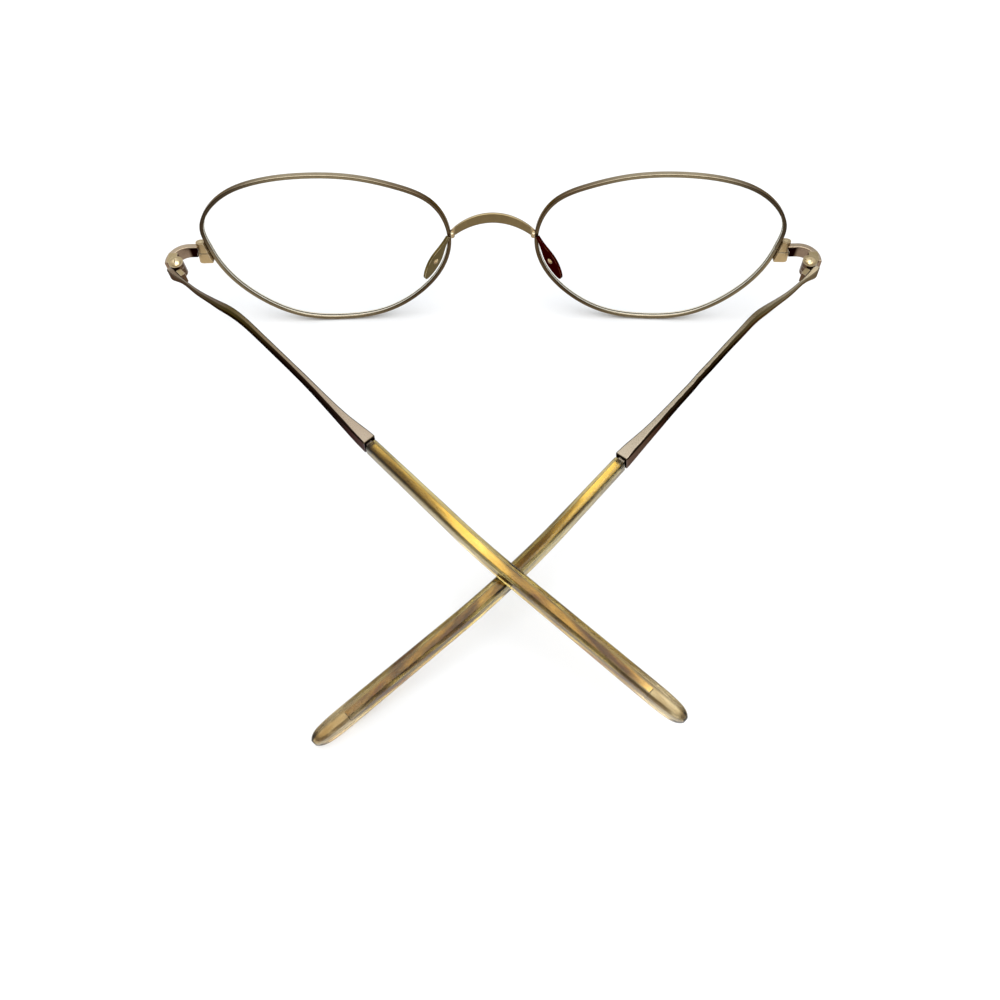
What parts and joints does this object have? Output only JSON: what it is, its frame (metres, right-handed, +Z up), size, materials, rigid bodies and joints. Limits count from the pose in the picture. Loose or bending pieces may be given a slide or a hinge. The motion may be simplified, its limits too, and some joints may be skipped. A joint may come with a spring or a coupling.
{
  "type": "eyeglasses",
  "caption": "Oval wire-rim eyeglasses with an arched bridge, riveted nose plates, hinged temples and bent amber ear sleeves, standing half folded.",
  "frame": {"origin": "on the table, midway across the pair and midway between the front of the eyewires and the rearmost tip", "axes": "+X to the wearer's right, +Y the way the wearer looks, +Z up from the table"},
  "size_m": [0.1354, 0.1072, 0.0341],
  "materials": {
    "plated_wire": "satin pale gold plating",
    "plated_temple": "satin rose-gold plating",
    "plated_screw": "bright polished gold",
    "amber_sleeve": "polished translucent honey acetate",
    "lens": "clear, uncoated"
  },
  "bodies": {
    "front": {"rim_left": "plated_wire", "lens_left": "lens", "rim_barrel_upper_left": "plated_wire", "rim_barrel_lower_left": "plated_wire", "rim_screw_left": "plated_screw", "nose_plate_left": "plated_wire", "nose_stud_left": "plated_screw", "end_piece_left": "plated_temple", "front_hinge_left": "plated_temple", "hinge_screw_left": "plated_screw", "rim_right": "plated_wire", "lens_right": "lens", "rim_barrel_upper_right": "plated_wire", "rim_barrel_lower_right": "plated_wire", "rim_screw_right": "plated_screw", "nose_plate_right": "plated_wire", "nose_stud_right": "plated_screw", "end_piece_right": "plated_temple", "front_hinge_right": "plated_temple", "hinge_screw_right": "plated_screw", "bridge": "plated_wire"},
    "left_temple": {"temple_bar_left": "plated_temple", "temple_hinge_left": "plated_temple", "temple_sleeve_left": "amber_sleeve"},
    "right_temple": {"temple_bar_right": "plated_temple", "temple_hinge_right": "plated_temple", "temple_sleeve_right": "amber_sleeve"}
  },
  "joints": [
    {"name": "left_fold", "type": "hinge", "parent": "front", "child": "left_temple", "pos_m": [-0.0652, 0.04177, 0.01928], "axis": [-0.0417, -0.0879, 0.9953], "range_deg": [-42.5, 40]},
    {"name": "right_fold", "type": "hinge", "parent": "front", "child": "right_temple", "pos_m": [0.0652, 0.04177, 0.01928], "axis": [-0.0334, -0.088, 0.9956], "range_deg": [-40, 42.5]}
  ],
  "couplings": [
    {"joint": "right_fold", "follows": "left_fold", "ratio": -1}
  ]
}
